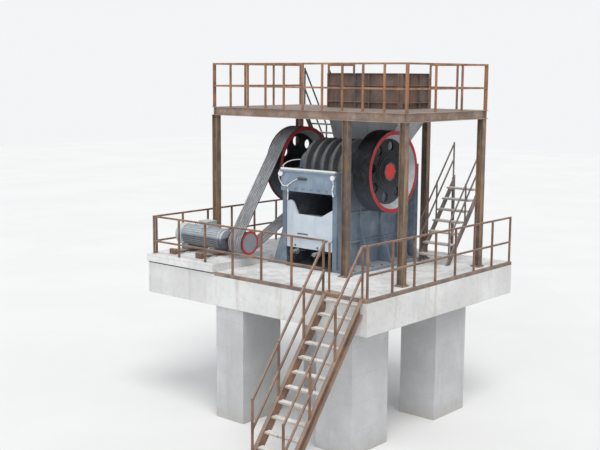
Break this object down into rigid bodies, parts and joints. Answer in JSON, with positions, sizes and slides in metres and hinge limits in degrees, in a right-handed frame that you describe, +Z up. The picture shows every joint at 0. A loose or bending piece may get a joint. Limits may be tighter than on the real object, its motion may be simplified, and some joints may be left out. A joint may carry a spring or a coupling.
{
  "type": "jaw crusher station",
  "caption": "Jaw crusher on a raised concrete platform, with flywheel, belt drive and motor, steel feed deck with hopper, guard rails and stairs.",
  "frame": {"origin": "on the ground, under the middle of the station's outline", "axes": "+Z up; the crusher's shaft lies along X with the flywheel towards +X and the belt pulley towards -X; the main stair goes down towards -Y, and the crusher's rear (toggle) end faces -Y"},
  "size_m": [6.6, 8.43, 8.15],
  "materials": {
    "concrete": "matt, cast, stained",
    "rusty_steel": "matt red-brown primer, rusted",
    "dark_steel": "matt, dark",
    "tread_steel": "matt, dusty",
    "blue_grey_paint": "satin paint, dusty",
    "pale_paint": "satin paint, dusty",
    "jaw_casting": "matt, dusty",
    "jaw_steel": "worn, ground by stone",
    "machined_steel": "oiled",
    "wheel_paint": "satin paint",
    "red_paint": "gloss",
    "belt_rubber": "matt, dusty",
    "motor_paint": "satin paint, dusty"
  },
  "bodies": {
    "station": {"slab": "concrete", "slab_edge_angle": "rusty_steel", "motor_curb": "concrete", "pier_front_right": "concrete", "pier_front_left": "concrete", "pier_back_right": "concrete", "pier_back_left": "concrete", "main_stair_sides": "rusty_steel", "main_stair_treads": "tread_steel", "front_guard_rail": "rusty_steel", "right_guard_rail": "rusty_steel", "left_guard_rail": "rusty_steel", "column_front_right": "rusty_steel", "column_front_mid": "rusty_steel", "column_front_left": "rusty_steel", "column_back_right": "rusty_steel", "column_back_mid": "rusty_steel", "column_back_left": "rusty_steel", "deck_frame": "rusty_steel", "deck_plate": "rusty_steel", "deck_rail_front": "rusty_steel", "deck_rail_right": "rusty_steel", "deck_rail_left": "rusty_steel", "deck_rail_back": "rusty_steel", "deck_stair_sides": "dark_steel", "deck_stair_treads": "tread_steel", "inner_stair_sides": "dark_steel", "inner_stair_treads": "tread_steel", "feed_guard_front": "rusty_steel", "feed_guard_right": "rusty_steel", "feed_guard_left": "rusty_steel", "feed_hopper": "pale_paint", "frame_side_left": "blue_grey_paint", "frame_side_right": "blue_grey_paint", "frame_front_wall": "blue_grey_paint", "rear_beam": "blue_grey_paint", "rear_panel": "pale_paint", "toggle_block": "blue_grey_paint", "fixed_jaw_plate": "jaw_steel", "bearing_housing_right": "blue_grey_paint", "bearing_housing_left": "blue_grey_paint", "drive_belt": "belt_rubber", "motor": "motor_paint", "motor_rails": "rusty_steel"},
    "rotor": {"eccentric_shaft": "machined_steel", "flywheel": "wheel_paint", "belt_pulley": "wheel_paint", "hub_cap_right": "red_paint", "hub_cap_left": "red_paint"},
    "motor_rotor": {"motor_pulley": "wheel_paint"},
    "swing_jaw": {"swing_jaw": "jaw_casting", "swing_jaw_plate": "jaw_steel", "tension_rods": "machined_steel"},
    "toggle": {"toggle_plate": "machined_steel"}
  },
  "joints": [
    {"name": "rotor_spin", "type": "hinge", "parent": "station", "child": "rotor", "pos_m": [0.25, 1.335, 5.7], "axis": [1, 0, 0], "continuous": true},
    {"name": "motor_spin", "type": "hinge", "parent": "station", "child": "motor_rotor", "pos_m": [-1.06, -0.665, 4], "axis": [1, 0, 0], "continuous": true},
    {"name": "jaw_swing", "type": "hinge", "parent": "station", "child": "swing_jaw", "pos_m": [0.25, 1.335, 5.7], "axis": [1, 0, 0], "range_deg": [-0.5, 0.5]},
    {"name": "toggle_rock", "type": "hinge", "parent": "station", "child": "toggle", "pos_m": [0.25, 1.085, 4.32], "axis": [1, 0, 0], "range_deg": [-0.4, 0.4]}
  ],
  "couplings": [
    {"joint": "motor_spin", "follows": "rotor_spin", "ratio": 3.5},
    {"joint": "toggle_rock", "follows": "jaw_swing", "ratio": 0.734}
  ]
}
